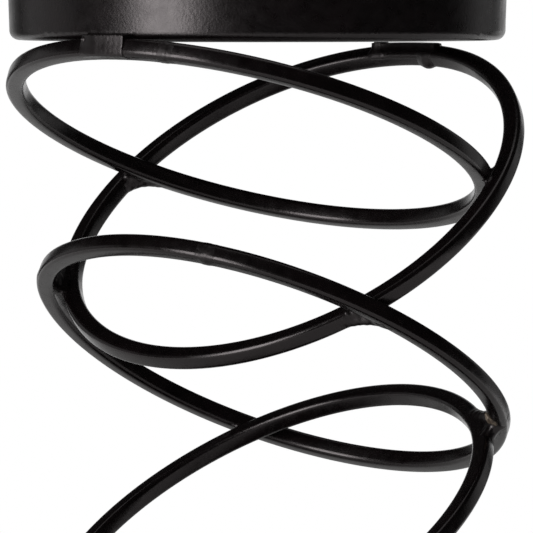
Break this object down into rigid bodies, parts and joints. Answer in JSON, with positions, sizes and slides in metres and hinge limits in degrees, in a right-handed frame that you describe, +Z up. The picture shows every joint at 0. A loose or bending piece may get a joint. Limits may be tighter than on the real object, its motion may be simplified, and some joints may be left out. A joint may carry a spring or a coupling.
{
  "type": "candle holder",
  "caption": "Pillar candle holder: a shallow round pan on a see-through tower of leaning hoops bent from square bar, on a round pressed base.",
  "frame": {"origin": "middle of the base pan's rim circle, on the floor", "axes": "+Z up the tower, +X to the right and +Y away from a viewer in front; the top hoop's high side faces front left"},
  "size_m": [0.116, 0.1178, 0.2123],
  "materials": {
    "powder_coat": "satin",
    "coated_weld": "satin"
  },
  "bodies": {
    "root": {"candle_pan": "powder_coat", "base_pan": "powder_coat", "ring_1": "powder_coat", "ring_2": "powder_coat", "ring_3": "powder_coat", "ring_4": "powder_coat", "ring_5": "powder_coat", "ring_6": "powder_coat", "seam_weld_1": "coated_weld", "seam_weld_2": "coated_weld", "seam_weld_3": "coated_weld", "seam_weld_4": "coated_weld", "seam_weld_5": "coated_weld", "seam_weld_6": "coated_weld", "weld_1_to_2_left": "coated_weld", "weld_1_to_2_right": "coated_weld", "weld_2_to_3_left": "coated_weld", "weld_2_to_3_right": "coated_weld", "weld_3_to_4_left": "coated_weld", "weld_3_to_4_right": "coated_weld", "weld_4_to_5_left": "coated_weld", "weld_4_to_5_right": "coated_weld", "weld_5_to_6_left": "coated_weld", "weld_5_to_6_right": "coated_weld", "weld_pan_to_1": "coated_weld", "weld_pan_to_2": "coated_weld", "weld_base_to_6": "coated_weld", "weld_base_to_5": "coated_weld"}
  },
  "joints": []
}
